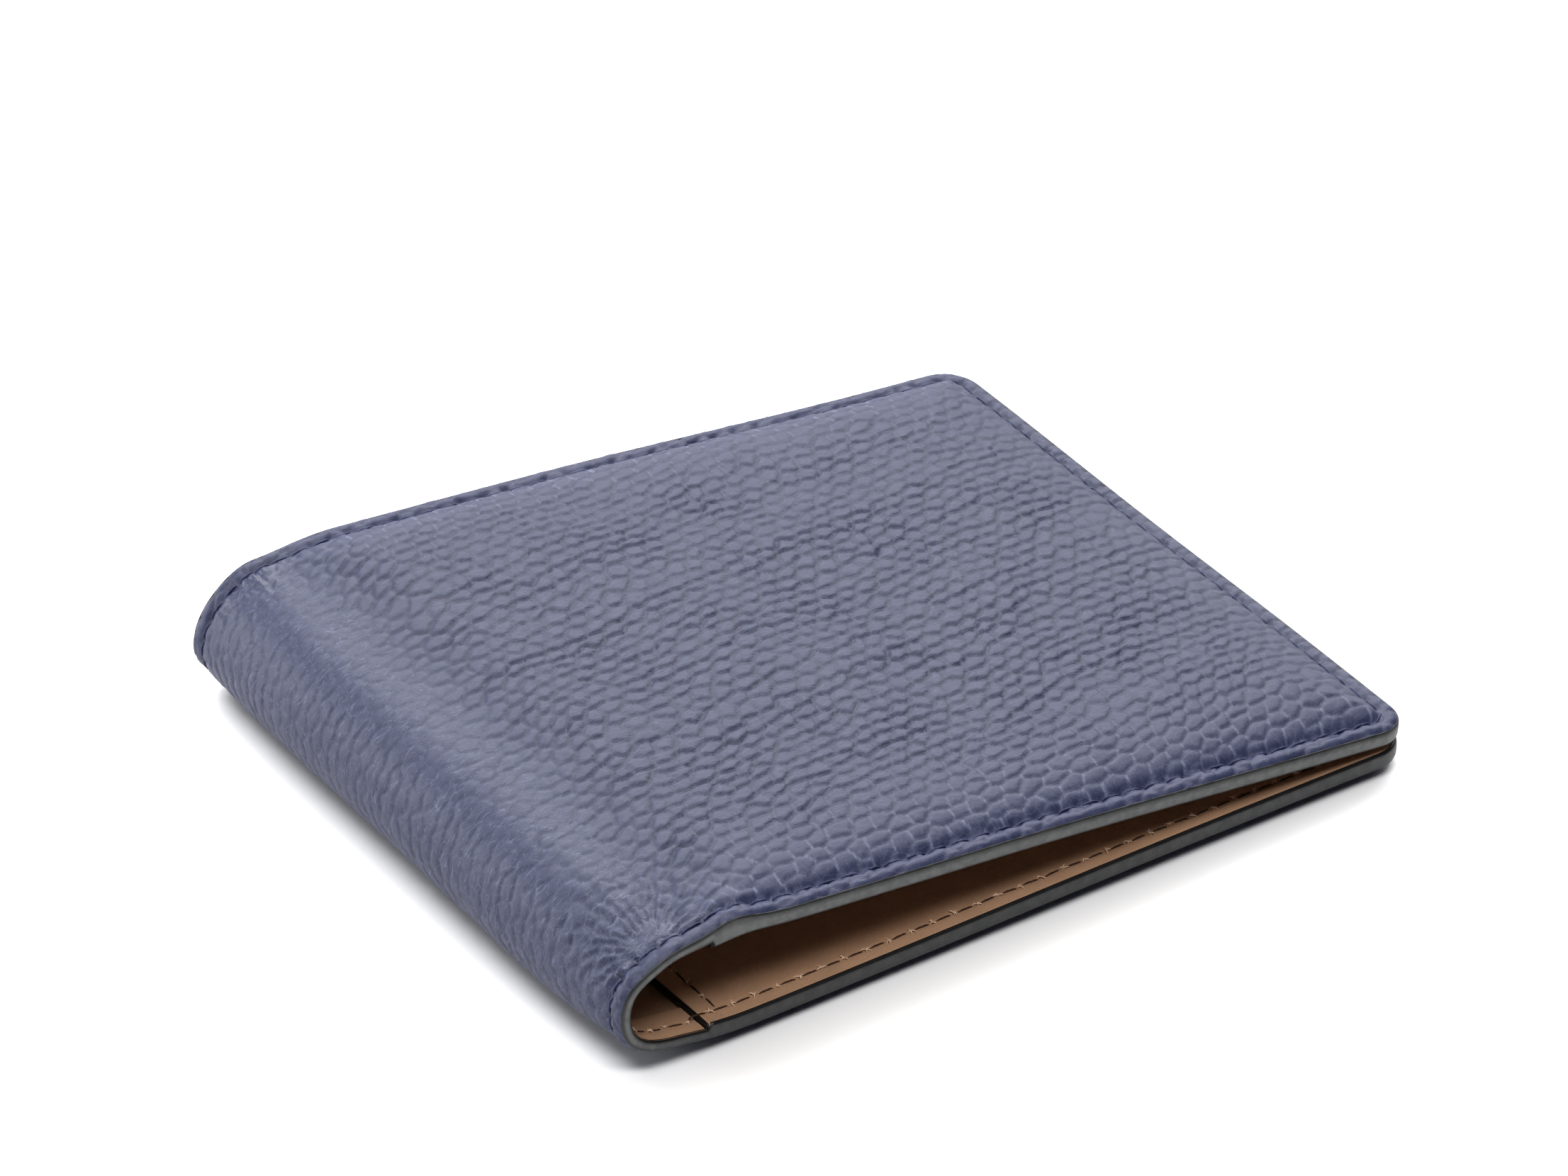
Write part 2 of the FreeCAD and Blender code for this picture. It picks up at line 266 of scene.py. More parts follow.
class Tree:
    """Builds nodes of a shader or geometry tree, which share their texture and math nodes."""

    def __init__(self, tree):
        self.tree = tree

    def node(self, kind, inputs=(), **settings):
        made = self.tree.nodes.new(kind)
        for name, value in settings.items():
            setattr(made, name, value)
        for name, value in dict(inputs).items():
            self.put(made.inputs[name], value)
        return made

    def put(self, socket, value):
        if isinstance(value, bpy.types.NodeSocket):
            self.tree.links.new(value, socket)
        else:
            socket.default_value = value

    def numbers(self, operation, *values):
        return self.node("ShaderNodeMath", enumerate(values), operation=operation).outputs[0]

    def vectors(self, operation, *values):
        made = self.node("ShaderNodeVectorMath", enumerate(values), operation=operation)
        return made.outputs[0]

    plus = partialmethod(numbers, "ADD")
    minus = partialmethod(numbers, "SUBTRACT")
    times = partialmethod(numbers, "MULTIPLY")
    moved = partialmethod(vectors, "ADD")
    scaled = partialmethod(vectors, "MULTIPLY")

    def step(self, value, low, high, to_low=0, to_high=1):
        """Goes smoothly from to_low to to_high as value goes from low to high."""
        inputs = enumerate((value, low, high, to_low, to_high))
        return self.node("ShaderNodeMapRange", inputs, interpolation_type="SMOOTHSTEP").outputs[0]

    def attribute(self, name, output="Fac"):
        return self.node("ShaderNodeAttribute", attribute_name=name).outputs[output]

    def place(self):
        """Each point's place on the flat sheet, which stays with the leather as it bends."""
        return self.attribute("flat", "Vector")

    def noise(self, vector, scale, detail=2.0, roughness=0.5, output="Fac"):
        made = self.node("ShaderNodeTexNoise", {
            "Vector": vector, "Scale": scale, "Detail": detail, "Roughness": roughness})
        return made.outputs[output]

    def cells(self, vector, feature, randomness=0.85):
        made = self.node("ShaderNodeTexVoronoi", {
            "Vector": vector, "Scale": 1.0, "Randomness": randomness},
            voronoi_dimensions="2D", feature=feature)
        return made.outputs["Distance"]

    def mix(self, share, first, second):
        made = self.node("ShaderNodeMix", {0: share, 6: first, 7: second}, data_type="RGBA")
        return made.outputs[2]

    def tones(self, value, low, high, first, second):
        """The first colour where value is low, turning into the second where it is high."""
        return self.mix(self.step(value, low, high), colour(*first), colour(*second))


def wander_field(tree, flat):
    """Smooth noises over the flat sheet, each from 0 to 1 about a middle of 0.5."""
    shift = tree.moved(flat, (70, 40, 0))
    places = {"wide_s": (flat, 0.035), "wide_v": (shift, 0.035), "near_s": (flat, 0.3),
              "near_v": (shift, 0.3), "strength": (flat, 0.11), "swell": (flat, 0.055)}
    fields = {name: tree.noise(at, scale, 1) for name, (at, scale) in places.items()}
    scales = {"pleat_s": (0.62, 0.1, 0), "pleat_v": (0.1, 0.62, 0), "wrinkle": (1.1, 2, 0)}
    for name, scale in scales.items():
        fields[name] = tree.noise(tree.scaled(flat, scale), 1, 2)
    return fields


def add_object(name, data):
    made = bpy.data.objects.new(name, data)
    bpy.context.scene.collection.objects.link(made)
    return made


def sample(points, build):
    """Values of a node field at flat points, read from a geometry node tree."""
    mesh = bpy.data.meshes.new("samples")
    mesh.vertices.add(len(points))
    mesh.vertices.foreach_set("co", points.astype(np.float32).ravel())
    holder = add_object("samples", mesh)
    group = bpy.data.node_groups.new("samples", "GeometryNodeTree")
    group.interface.new_socket("Geometry", in_out="INPUT", socket_type="NodeSocketGeometry")
    group.interface.new_socket("Geometry", in_out="OUTPUT", socket_type="NodeSocketGeometry")
    tree = Tree(group)
    geometry = tree.node("NodeGroupInput").outputs[0]
    fields = build(tree, tree.node("GeometryNodeInputPosition").outputs[0])
    for name, socket in fields.items():
        geometry = tree.node("GeometryNodeStoreNamedAttribute", {
            "Geometry": geometry, "Name": name, "Value": socket}, domain="POINT").outputs[0]
    tree.node("NodeGroupOutput", {0: geometry})
    holder.modifiers.new("samples", "NODES").node_group = group
    evaluated = holder.evaluated_get(bpy.context.evaluated_depsgraph_get()).data
    values = {}
    for name in fields:
        values[name] = np.zeros(len(points), np.float32)
        evaluated.attributes[name].data.foreach_get("value", values[name])
    bpy.data.objects.remove(holder)
    bpy.data.meshes.remove(mesh)
    bpy.data.node_groups.remove(group)
    return {name: value.astype(float) for name, value in values.items()}


# ---- seams

def seam_loop():
    """The border seam, once round the sheet: points (s, v), and the length run at each."""
    radius = CORNER_RADIUS - SEAM_INSET
    low_s, high_s = -(RUN - CORNER_RADIUS), BEND + RUN - CORNER_RADIUS
    side = HALF_HEIGHT - CORNER_RADIUS
    corners = [(high_s, -side, -90), (high_s, side, 0), (low_s, side, 90), (low_s, -side, 180)]
    points = []
    for s, v, start in corners:
        for degrees in np.linspace(start, start + 90, 40):
            turn = math.radians(degrees)
            points.append((s + radius * math.cos(turn), v + radius * math.sin(turn)))
    points = np.array(points + points[:1])
    return points, np.concatenate([[0], np.cumsum(np.hypot(*np.diff(points, axis=0).T))])


SEAM_POINTS, SEAM_LENGTHS = seam_loop()
SEAM_COUNT = round(SEAM_LENGTHS[-1] / STITCH_PITCH)
SEAM_PITCH = SEAM_LENGTHS[-1] / SEAM_COUNT


def along_seam(lengths):
    """s and v at lengths along the border seam."""
    return [np.interp(lengths, SEAM_LENGTHS, column) for column in SEAM_POINTS.T]


def border_holes():
    return stacked(*along_seam(np.arange(SEAM_COUNT) * SEAM_PITCH))


def border_stitches():
    """Middle and direction of every stitch of the border seam."""
    middles = (np.arange(SEAM_COUNT) + 0.5) * SEAM_PITCH
    ahead = along_seam((middles + 0.2) % SEAM_LENGTHS[-1])
    behind = along_seam(middles - 0.2)
    return *along_seam(middles), np.arctan2(ahead[1] - behind[1], ahead[0] - behind[0])


def side_seam(side):
    """s and v of each stitch's middle on a pocket side seam."""
    v = np.arange(SEAM_INSET - HALF_HEIGHT + STITCH_PITCH / 2, SIDE_SEAM_TOP, STITCH_PITCH)
    return np.full(len(v), s_of(SIDE_SEAM_U, side)), v


def side_seam_holes(side):
    s, v = side_seam(side)
    return stacked(s, v + STITCH_PITCH / 2)


def inner_levels(s, v, direction):
    """Depth of the surface that each inside stitch lies over."""
    levels = []
    for u, middle, turn in zip(u_of(s), v, direction):
        reach = abs(math.sin(turn)) * 1.3
        levels.append(max(inner_level(u, middle - reach), inner_level(u, middle + 0.1)))
    return np.array(levels)


# ---- meshes

def make_mesh(name, points, faces, material, **attributes):
    mesh = bpy.data.meshes.new(name)
    mesh.from_pydata([tuple(p) for p in points], [], [tuple(f) for f in faces])
    mesh.polygons.foreach_set("use_smooth", [True] * len(mesh.polygons))
    for key, value in attributes.items():
        kind, field = ("FLOAT_VECTOR", "vector") if np.ndim(value) == 2 else ("FLOAT", "value")
        made = mesh.attributes.new(key, kind, "POINT")
        made.data.foreach_set(field, np.asarray(value, np.float32).ravel())
    mesh.materials.append(material)
    return add_object(name, mesh)


def grid_faces(columns, rows):
    index = np.arange(columns * rows).reshape(columns, rows)
    corners = index[:-1, :-1], index[1:, :-1], index[1:, 1:], index[:-1, 1:]
    return stacked(*corners).reshape(-1, 4)


def grid_normals(points):
    """Area-weighted vertex normals of a grid of points."""
    cell = np.cross(points[1:, 1:] - points[:-1, :-1], points[:-1, 1:] - points[1:, :-1])
    total = np.zeros_like(points)
    for rows in (slice(None, -1), slice(1, None)):
        for columns in (slice(None, -1), slice(1, None)):
            total[rows, columns] += cell
    return total / np.maximum(np.linalg.norm(total, axis=-1, keepdims=True), 1e-30)


def rim_of(columns, rows):
    """Indices of a grid's outline, in order."""
    index = np.arange(columns * rows).reshape(columns, rows)
    return np.concatenate([index[:-1, 0], index[-1, :-1], index[:0:-1, -1], index[0, :0:-1]])


def coarse_faces(columns, rows, step):
    """Faces of a grid with cells joined step by step, which keep every point of its outline."""
    def run(first, last, whole):
        stride = 1 if whole else step
        return list(range(first, last, stride if last > first else -stride))

    faces = []
    for i in range(0, columns - 1, step):
        for j in range(0, rows - 1, step):
            far_i, far_j = i + step, j + step
            loop = [(k, j) for k in run(i, far_i, j == 0)]
            loop += [(far_i, k) for k in run(j, far_j, far_i == columns - 1)]
            loop += [(k, far_j) for k in run(far_i, i, far_j == rows - 1)]
            loop += [(i, k) for k in run(far_j, j, i == 0)]
            faces.append([a * rows + b for a, b in loop])
    return faces


def closed_layer(name, flat, outer, inner, normals, material, step=1, **attributes):
    """A closed piece from two grids of points, one above the other. The inner face may have
    larger cells. flat is each point's place on the flat sheet, for its material."""
    columns, rows = flat.shape[:2]
    under = coarse_faces(columns, rows, step)
    rim = rim_of(columns, rows)
    after = np.roll(rim, -1)
    used = np.unique(np.concatenate([np.concatenate(under), rim]))
    moved = np.full(columns * rows, -1)
    moved[used] = len(moved) + np.arange(len(used))
    faces = grid_faces(columns, rows).tolist()
    faces += [[int(moved[k]) for k in face[::-1]] for face in under]
    faces += stacked(rim, moved[rim], moved[after], after).tolist()
    points = np.concatenate([outer.reshape(-1, 3), inner.reshape(-1, 3)[used]])
    out_normals, in_normals = (n.reshape(-1, 3) for n in normals)
    extra = {key: np.concatenate([value.ravel(), value.ravel()[used]])
             for key, value in attributes.items()}
    flat = flat.reshape(-1, 3)
    piece = make_mesh(name, points, faces, material,
                      flat=np.concatenate([flat, flat[used]]), **extra)
    piece.data.normals_split_custom_set_from_vertices(
        np.concatenate([out_normals, in_normals[used]]).tolist())
    return piece


def on_bodies(piece, number, nodes=()):
    """Puts a piece on its half, or leaves a piece that lies across a crease where it was built;
    number is 0 for the back half, then counts the creases, and the front half comes last."""
    if number in NUMBER_OF.values():
        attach(piece, CHAIN[min(number, HINGE_COUNT)])
    else:
        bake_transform(piece)
    if nodes:
        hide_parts(*nodes)
    return piece


def name_for(name, in_cad):
    """A piece's name and the CAD nodes it replaces."""
    return (name + "_detailed", [name]) if in_cad else (name, [])


def names_for(half_name, spine_name, cad_half=True, cad_spine=True):
    """The names of a layer's pieces: on each half, and on each crease of the spine."""
    names = {NUMBER_OF[half]: name_for(f"{half}_{half_name}", cad_half) for half in HALVES}
    for number in range(1, HINGE_COUNT + 1):
        names[number] = name_for(f"{spine_name}_{number}", cad_spine and number < HINGE_COUNT)
    return names


def cut_columns(s):
    """Column ranges of the back half, each strip of the bend and the front half."""
    marks = [0] + [int(np.argmin(np.abs(s - n * STRIP))) for n in range(HINGE_COUNT + 1)]
    marks.append(len(s) - 1)
    return list(enumerate(zip(marks[:-1], marks[1:])))


def even(low, high, cell):
    """Evenly spaced values whose cells come in whole groups of GROUP."""
    count = GROUP * max(1, round(abs(high - low) / cell / GROUP))
    return np.linspace(low, high, count + 1)


def sheet_columns(start, end, cell):
    """Columns from s = start to s = end that fall on the bounds of every strip."""
    parts = [even(start, 0, cell)]
    bend_cell = min(cell, SPINE_CELL)
    parts += [even(n * STRIP, (n + 1) * STRIP, bend_cell)[1:] for n in range(HINGE_COUNT)]
    parts.append(even(BEND, end, cell)[1:])
    return np.concatenate(parts)


def leather_lines(cell):
    """Columns and rows of a layer that covers the whole sheet."""
    return (sheet_columns(EDGE_BACK - RUN, BEND + RUN - EDGE_BACK, cell),
            even(EDGE_BACK - HALF_HEIGHT, HALF_HEIGHT - EDGE_BACK, cell))


def build_sheet(names, s, v, outer, inner, material, slot, step=1, **attributes):
    """A closed layer of the whole sheet, in pieces: one on each half and one on each crease.
    outer and inner are depths at the points of the square outline s, v."""
    grid_s, grid_v = round_corners(*grid_of(s, v))
    faces_out, faces_in = place(grid_s, grid_v, outer), place(grid_s, grid_v, inner)
    flat = stacked(grid_s, grid_v, 0)
    normals = grid_normals(faces_out), -grid_normals(faces_in)
    pieces = {}
    for number, (first, last) in cut_columns(s):
        name, nodes = names[number]
        block = slice(first, last + 1)
        piece = closed_layer(
            name, flat[block], faces_out[block], faces_in[block], [n[block] for n in normals],
            material, step if number in NUMBER_OF.values() else 1,
            **{key: value[block] for key, value in attributes.items()})
        pieces[number] = on_bodies(piece, number, nodes)
    return pieces


def build_half_layer(named, half, s, v, outer, inner, material):
    """A closed layer on one half; outer and inner are the depths of its faces."""
    name, nodes = named
    outer, inner, flat = place(s, v, outer), place(s, v, inner), stacked(s, v, 0)
    if half == "back":
        outer, inner, flat = outer[::-1], inner[::-1], flat[::-1]
    normals = grid_normals(outer), -grid_normals(inner)
    piece = closed_layer(name, flat, outer, inner, normals, material)
    return on_bodies(piece, NUMBER_OF[half], nodes)


def faced_out(points, faces):
    """The same faces, turned so that they look out of the volume they enclose."""
    a, b, c, d = (points[faces[:, k]] for k in range(4))
    volume = np.sum(a * np.cross(b, c)) + np.sum(a * np.cross(c, d))
    return faces if volume > 0 else faces[:, ::-1]


def build_loose(names, points, faces, material, slot, **attributes):
    """Pieces of a mesh given as (s, v, depth) points, cut where the bodies meet."""
    faces = np.asarray(faces)
    middle = points[faces, 0].mean(axis=1)
    numbers = np.ceil(np.clip(middle / STRIP, 0, HINGE_COUNT)).astype(int)
    numbers[middle > BEND] = HINGE_COUNT + 1
    placed = place(points[:, 0], points[:, 1], points[:, 2])
    faces = faced_out(placed, faces)
    for number in sorted(names):
        chosen = faces[numbers == number]
        if len(chosen) == 0:
            continue
        used, moved = np.unique(chosen, return_inverse=True)
        name, nodes = names[number]
        piece = make_mesh(name, placed[used], moved.reshape(chosen.shape).tolist(), material,
                          flat=points[used], **{k: a[used] for k, a in attributes.items()})
        on_bodies(piece, number, nodes)


# ---- outer leather

def nearest(points, s, v, reach=2.5):
    """Distance from each (s, v) to the nearest of some points, up to reach."""
    found = np.full(s.shape, reach)
    for ps, pv in points:
        near = (np.abs(s - ps) < reach) & (np.abs(v - pv) < reach)
        found[near] = np.minimum(found[near], np.hypot(s[near] - ps, v[near] - pv))
    return found


def padding_height(s, v):
    """How far the padding lifts the leather above the sewn border."""
    u = u_of(s)
    inset = np.maximum(edge_distance(s, v) - SEAM_INSET, 0)
    rise = 1 - np.exp(-inset / PAD_RISE)
    across = 1 - ((u - RUN / 2) / (RUN / 2)) ** 2
    along = 1 - (v / HALF_HEIGHT) ** 2
    on_cover = smooth(u, 0, 13)
    puff = np.where(s < BEND / 2, PUFF["back"], PUFF["front"])
    cover = puff * (0.84 * rise + 0.16 * across * along)
    spine = SPINE_PUFF * (1 - np.exp(-inset / 6))
    height = cover * on_cover + spine * (1 - on_cover)
    resting = (s < 0) & (height > CROWN + sway(s, v))
    return np.where(resting, CROWN + sway(s, v), height)


def seam_dip(distance_to_seam, distance_to_hole):
    """The groove that the thread pulls into the leather, deepest at the holes."""
    groove = SEAM_GROOVE * np.exp(-(distance_to_seam / 0.45) ** 2)
    return groove + HOLE_DIP * np.exp(-(distance_to_hole / 0.6) ** 2)


def cell_random(column, row, salt):
    """A number from 0 to 1 for each cell of a lattice."""
    value = np.sin(column * 127.1 + row * 311.7 + salt * 74.7) * 43758.5453
    return value - np.floor(value)


def pebbles(s, v, scale=1.0, salt=0):
    """For each point: the distance to the nearest crease, the crease's strength, the height that
    the pebble's own lean gives the point for a lean of 1 in 1, and whether the crease lies
    within a row of pebbles."""
    x, y = s / (PEBBLE_LONG * scale), v / (PEBBLE_WIDE * scale)
    row0, column0 = np.floor(y), np.floor(x)
    best = np.full(s.shape + (2, 5), 1e9)
    for dr in (-1, 0, 1):
        for dc in (-2, -1, 0, 1, 2):
            row, column = row0 + dr, column0 + dc
            shift = 0.5 * (row % 2) + 0.5
            cx = column + shift + PEBBLE_JITTER * (cell_random(column, row, salt) - 0.5)
            cy = row + 0.5 + ROW_JITTER * (cell_random(column, row, salt + 1) - 0.5)
            px, py = (x - cx) * PEBBLE_LONG, (y - cy) * PEBBLE_WIDE * ROW_WEIGHT
            found = stacked(px * px + py * py, cx * PEBBLE_LONG, cy * PEBBLE_WIDE * ROW_WEIGHT,
                            row, cell_random(column, row, salt + 2))
            first = found[..., 0] < best[..., 0, 0]
            second = ~first & (found[..., 0] < best[..., 1, 0])
            best[first, 1] = best[first, 0]
            best[first, 0] = found[first]
            best[second, 1] = found[second]
    near, far = best[..., 0, :], best[..., 1, :]
    apart = np.hypot(near[..., 1] - far[..., 1], near[..., 2] - far[..., 2])
    edge = (far[..., 0] - near[..., 0]) / (2 * np.maximum(apart, 0.01)) * scale
    between_rows = 0.85 + 0.3 * cell_random(0, np.minimum(near[..., 3], far[..., 3]), salt + 3)
    same_row = near[..., 3] == far[..., 3]
    strength = np.where(same_row, IN_ROW, between_rows)
    other = cell_random(near[..., 3], near[..., 4], salt + 4)
    lean = (x * PEBBLE_LONG - near[..., 1]) * (near[..., 4] - 0.5)
    lean += (y * PEBBLE_WIDE * ROW_WEIGHT - near[..., 2]) * (other - 0.5)
    return edge, strength, lean, same_row


def corner_fan(s, v, field):
    """Wrinkles that spread from the seam where the near end of the spine meets the front."""
    ds, dv = s - (BEND - 2), v + HALF_HEIGHT - SEAM_INSET
    distance = np.hypot(ds, dv)
    wave = np.sin(FAN_COUNT * np.arctan2(ds, dv) + 9 * field["near_s"] + 8 * field["wide_v"])
    return FAN_HEIGHT * wave * smooth(distance, 0.5, 5) * np.exp(-(distance / 12) ** 2)


def leather_surface(s, v):
    """Height of the outer face above the border, and values for its material: how far it is
    creased and stretched, how far it is drawn along v instead of along s (across), and the
    light creases beside the border (glint)."""
    edge = edge_distance(s, v)
    real_s, real_v = round_corners(s, v)
    field = sample(stacked(real_s, real_v, 0).reshape(-1, 3), wander_field)
    field = {key: value.reshape(s.shape) - 0.5 for key, value in field.items()}
    u = u_of(s)
    inset = edge - SEAM_INSET
    inner = np.maximum(inset, 0)
    on_bend = 1 - smooth(u, 0, 11)
    stretched = np.maximum(0.85 * on_bend, np.clip(1.1 * np.exp(-inner / STRETCH_REACH), 0, 1))
    stretched = np.where(inset < 0, 0.55, stretched)

    bent_s = real_s + ROW_WANDER * field["wide_s"] + 1.2 * field["near_s"]
    bent_v = real_v - ROW_SLOPE * real_s + ROW_WANDER * field["wide_v"] + 0.8 * field["near_v"]
    away, strong, lean, same_row = pebbles(bent_s, bent_v)
    fine, *_ = pebbles(bent_s + 0.5 * bent_v, bent_v - 0.2 * bent_s, FINE_SCALE, 7)
    dome = 1 - np.clip(1 - away / DOME_WIDTH, 0, 1) ** 2
    relief = strong * (0.85 + 0.9 * field["strength"]) * (1 - 0.6 * np.minimum(stretched, 1))
    grain = GRAIN_DEPTH * (dome - 1) * relief + PEBBLE_LEAN * lean * relief
    grain -= 0.035 * np.clip(1 - fine / 0.22, 0, 1) * (1 - 0.5 * stretched)
    grain += 0.06 * field["wrinkle"]
    # Painted shade: crease marks where the material darkens the creases between pebbles.
    crease = strong * (1 - smooth(away, 0, 0.5))

    along_spine = HALF_HEIGHT - np.abs(v) < RUN - u
    pleat = np.where(along_spine | (u == 0), field["pleat_s"], field["pleat_v"])
    corner = hump(s, BEND - 2, 7)
    gathered = 1 + 2.4 * corner + 0.8 * on_bend
    pleats = PLEAT_HEIGHT * pleat * gathered * np.exp(-inner / STRETCH_REACH)
    pleats *= smooth(inset, -0.4, 0.8)
    stretched += 0.6 * corner * np.exp(-inner / 5) * (inset > 0)
    pleats += corner_fan(real_s, real_v, field) * (inset > 0)
    lip = 0.3 * pleat * (inset <= 0)
    dip = seam_dip(np.abs(inset), nearest(border_holes(), real_s, real_v))
    swell = 0.4 * field["swell"] * smooth(inset, 0, 10)
    rounding = 0.34 * np.clip(1 - (edge - EDGE_BACK) / 0.8, 0, 1) ** 2
    border = 0.1 * np.sin(np.pi * np.clip(edge / SEAM_INSET, 0, 1))
    height = padding_height(s, v) + grain + pleats + lip + swell + border - dip - rounding
    height = np.where(s < 0, np.minimum(height, CROWN + sway(s, v)), height)
    # Painted shade: across also marks where the material darkens the padded slopes beside the near
    # and far borders.
    across = smooth(u, 2, 12) * np.exp(-np.maximum(HALF_HEIGHT - np.abs(v) - SEAM_INSET, 0) / 6)
    # Painted highlight: glint marks the creases within rows beside the border that the material
    # lightens.
    glint = same_row * (1 - smooth(away, 0, 0.26)) * across * (inset > 0)
    return height, {"crease": crease, "stretched": stretched, "across": across, "glint": glint}


def build_outer_leather(material):
    s, v = leather_lines(COVER_CELL)
    grid_s, grid_v = grid_of(s, v)
    height, values = leather_surface(grid_s, grid_v)
    under = LEATHER - padding_height(grid_s, grid_v) * (u_of(grid_s) > 0)
    names = names_for("cover_leather", "spine_leather")
    pieces = build_sheet(names, s, v, -height, np.maximum(under, 0.45 - height), material,
                         "outer_leather", step=GROUP, **values)


def build_padding(material):
    """Foam under each cover's leather."""
    inset = SEAM_INSET + 0.8
    v = even(inset - HALF_HEIGHT, HALF_HEIGHT - inset, FOAM_CELL)
    for half, side in HALVES.items():
        u = even(inset, RUN - inset, FOAM_CELL)
        s, grid_v = grid_of(s_of(u, side), v)
        lift = np.maximum(padding_height(s, grid_v) - 0.03, 0.02)
        named = f"{half}_cover_foam", [f"{half}_cover_padding"]
        piece = build_half_layer(named, half, s, grid_v, LEATHER - lift, LEATHER, material)


def build_lining(material):
    s, v = leather_lines(LINING_CELL)
    inset = np.abs(HALF_HEIGHT - np.abs(np.broadcast_to(v, (len(s), len(v)))) - SEAM_INSET)
    inner = SHELL - 0.05 * np.exp(-(inset / 0.6) ** 2)
    build_sheet(names_for("cover_lining", "spine_lining"), s, v, LEATHER, inner, material,
                "lining_leather")


def build_gusset(material, paint):
    """The strip that closes the bottom of the spine, and the paint on its upper edge."""
    s = sheet_columns(-GUSSET_END, BEND + GUSSET_END, 0.4)
    top = GUSSET_HEIGHT - HALF_HEIGHT
    v = even(EDGE_BACK - HALF_HEIGHT, top, 0.25)
    grid_v = np.broadcast_to(v, (len(s), len(v)))
    seam = np.abs(grid_v + HALF_HEIGHT - SEAM_INSET)
    rounding = 0.12 * np.clip(1 - (top - grid_v) / 0.4, 0, 1) ** 2
    inner = GUSSET_TOP - 0.07 * np.exp(-(seam / 0.5) ** 2) - rounding
    build_sheet(names_for("spine_gusset_end", "spine_gusset"), s, v, SHELL + 0.01, inner,
                material, "pocket_leather")
    profile = np.array([(0.02, GUSSET_TOP - 0.16), (0.1, GUSSET_TOP - 0.25),
                        (0.1, SHELL + 0.08), (-0.05, SHELL + 0.02), (-0.1, GUSSET_TOP - 0.3),
                        (-0.12, GUSSET_TOP - 0.08)])
    points, faces = tube(stacked(s[:, None], top + profile[:, 0], profile[:, 1]))
    build_loose(names_for("gusset_edge_paint", "spine_gusset_edge_paint", False, False),
                points, faces, paint, "edge_paint", dark=np.ones(len(points)))


# ---- paint and thread

def tube(rings, closed=False):
    """Points and faces of a tube through rings of points, (ring, side, 3), or of many tubes,
    (tube, ring, side, 3). A closed tube joins its last ring to the first."""
    index = np.arange(rings[..., 0].size).reshape(rings.shape[:-1])
    beside, after = np.roll(index, -1, axis=-1), np.roll(index, -1, axis=-2)
    faces = stacked(index, beside, np.roll(beside, -1, axis=-2), after)
    if not closed:
        faces = faces[..., :-1, :, :]
    return rings.reshape(-1, 3), faces.reshape(-1, 4)


# The darkness column paints shade where the paint turns onto the outer and inner faces of the
# leather.
PAINT_PROFILE = [   # outwards from the outline, share of the thickness, depth added, darkness
    (-0.42, 0, 0.46, 0.9), (-0.16, 0, 0.33, 0.9), (-0.04, 0, 0.42, 0.85),
    (0.03, 0, 0.62, 0.6), (0.07, 0.5, 0, 0), (0.06, 1, -0.5, 0), (0.02, 1, -0.3, 0.6),
    (-0.04, 1, -0.16, 1), (-0.2, 1, -0.01, 1), (-0.36, 1, 0.03, 1),
    (-0.5, 1, -0.06, 1), (-0.5, 1, -0.3, 1), (-0.45, 0, 0.6, 0.5)]


def outline_points():
    """The square outline once round, as (s, v, outward s, outward v)."""
    s = sheet_columns(-RUN, BEND + RUN, PAINT_CELL)
    v = even(-HALF_HEIGHT, HALF_HEIGHT, PAINT_CELL)
    grid = stacked(*grid_of(s, v)).reshape(-1, 2)
    points = grid[np.roll(rim_of(len(s), len(v)), -1)]
    outward = 1.0 * (points == (s[-1], v[-1])) - (points == (s[0], v[0]))
    return np.concatenate([points, outward], axis=1)


def build_edge_paint(material):
    s, v, out_s, out_v = outline_points().T
    thickness = np.array([inner_level(*at) for at in zip(u_of(s), v)])
    ripple = 1 + 0.1 * np.sin(0.9 * s + 1.3 * np.sin(0.31 * v))
    rings = []
    for out, share, extra, _ in PAINT_PROFILE:
        bulge = out * (ripple if out > 0 else 1)
        ring_s, ring_v = round_corners(s + out_s * bulge, v + out_v * bulge)
        rings.append(stacked(ring_s, ring_v, share * thickness + extra))
    points, faces = tube(np.stack(rings, axis=1), closed=True)
    # Painted shade: the back half's edge paint is darkened, fading out across the bend.
    shade = 0.5 * (1 - smooth(s, -6, 0.45 * BEND))
    dark = np.maximum(shade[:, None], [row[3] for row in PAINT_PROFILE]).ravel()
    build_loose(names_for("edge_paint", "spine_edge_paint"), points, faces, material,
                "edge_paint", dark=dark)


def turned(s, v, angle, along, across):
    """Places at distances along and across a direction from (s, v)."""
    return (s + along * np.cos(angle) - across * np.sin(angle),
            v + along * np.sin(angle) + across * np.cos(angle))


def stitches(s, v, direction, level, side, seed, size):
    """Tubes of two-ply thread, one for each stitch. side is -1 outside and 1 inside."""
    half_length, radius = size
    along = np.linspace(-1, 1, 11)[:, None]
    turn = np.linspace(0, 2 * math.pi, 10, endpoint=False)
    angle = direction + np.random.default_rng(seed).uniform(-0.07, 0.07, len(s))
    s, v, level, angle = (column[:, None, None] for column in (s, v, level, angle))
    plies = 1 + 0.13 * np.cos(2 * (turn - along * half_length * 3.2))
    reach = radius * plies * (1 - 0.25 * np.abs(along) ** 3)
    ring_s, ring_v = turned(s, v, angle, along * half_length, reach * np.cos(turn))
    depth = level + side * (reach * np.sin(turn) + 0.02 - 0.3 * np.abs(along) ** 4)
    return tube(stacked(ring_s, ring_v, depth))


def build_inside_thread(names, s, v, direction, seed, material):
    level = inner_levels(s, v, direction) - 0.06
    points, faces = stitches(s, v, direction, level, 1, seed, INNER_STITCH)
    build_loose(names, points, faces, material, "inner_thread")


